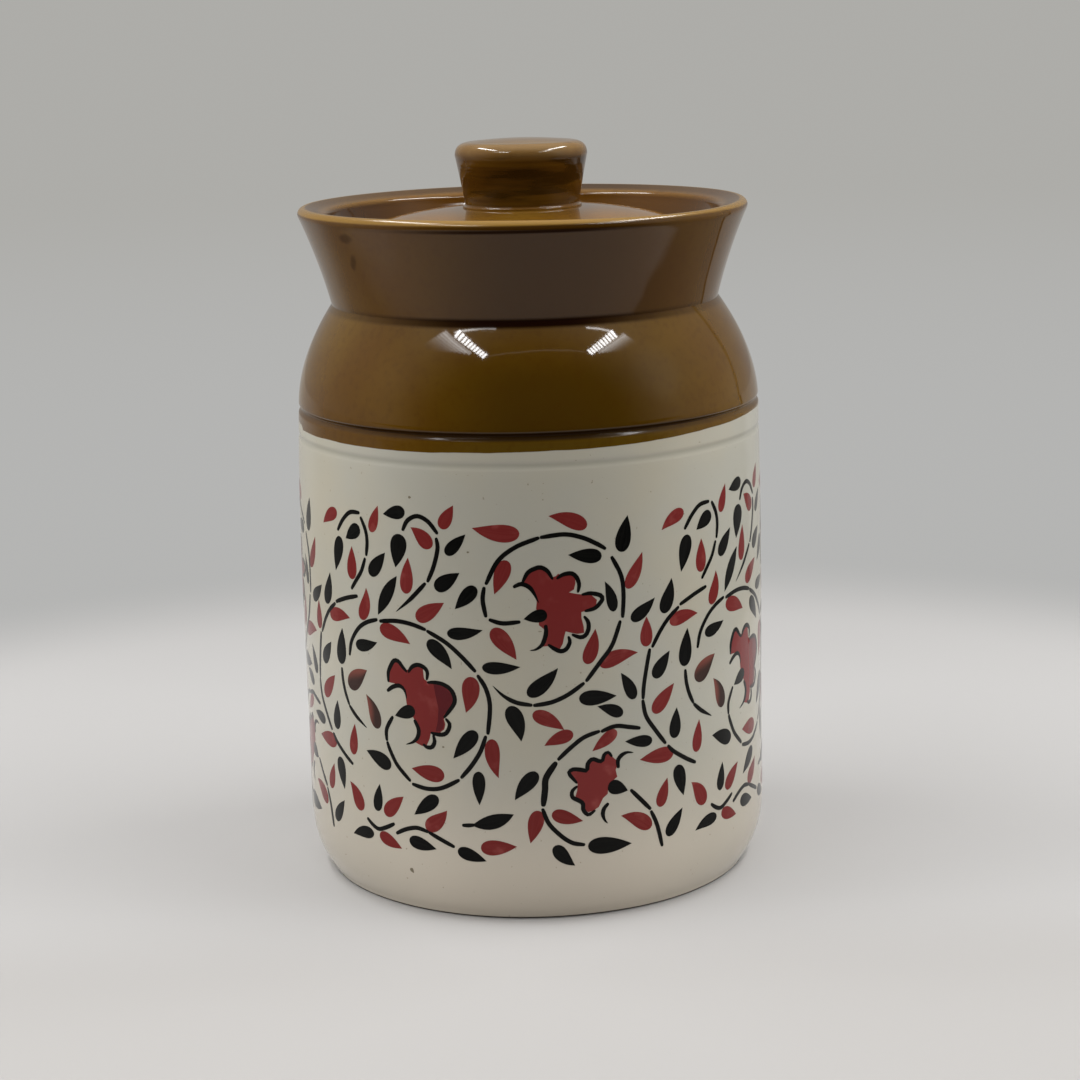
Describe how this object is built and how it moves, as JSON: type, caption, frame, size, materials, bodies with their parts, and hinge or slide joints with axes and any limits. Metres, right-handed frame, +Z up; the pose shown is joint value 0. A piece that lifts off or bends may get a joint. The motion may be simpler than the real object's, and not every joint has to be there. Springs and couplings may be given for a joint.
{
  "type": "lidded jar",
  "caption": "Round two-tone glazed stoneware storage jar with a flared collar and a recessed domed lid with a knob.",
  "frame": {"origin": "centre of the foot, on the surface the jar stands on", "axes": "+Z up along the jar's axis; +Y from the front, as pictured, towards the back; +X to the right of the front"},
  "size_m": [0.1498, 0.1498, 0.2345],
  "materials": {
    "body_glaze": "warm off-white gloss glaze with fine specks, brown above the glaze line near the shoulder",
    "collar_glaze": "glossy olive-brown glaze, honey-coloured where it is thin",
    "lid_glaze": "glossy olive-brown glaze",
    "knob_glaze": "glossy olive-brown glaze with turning marks",
    "paint_black": "black underglaze paint of the vine, under clear glaze",
    "paint_red": "iron-red underglaze paint of leaves and flowers, streaked by the brush",
    "paint_brown": "red-brown underglaze paint of a few leaves"
  },
  "bodies": {
    "jar": {"jar_base": "body_glaze", "shoulder_collar": "collar_glaze"},
    "lid": {"lid_disc": "lid_glaze", "lid_knob": "knob_glaze"}
  },
  "joints": [
    {"name": "lid_lift", "type": "slide", "parent": "jar", "child": "lid", "axis": [0, 0, 1], "range_m": [0, 0.1]}
  ]
}
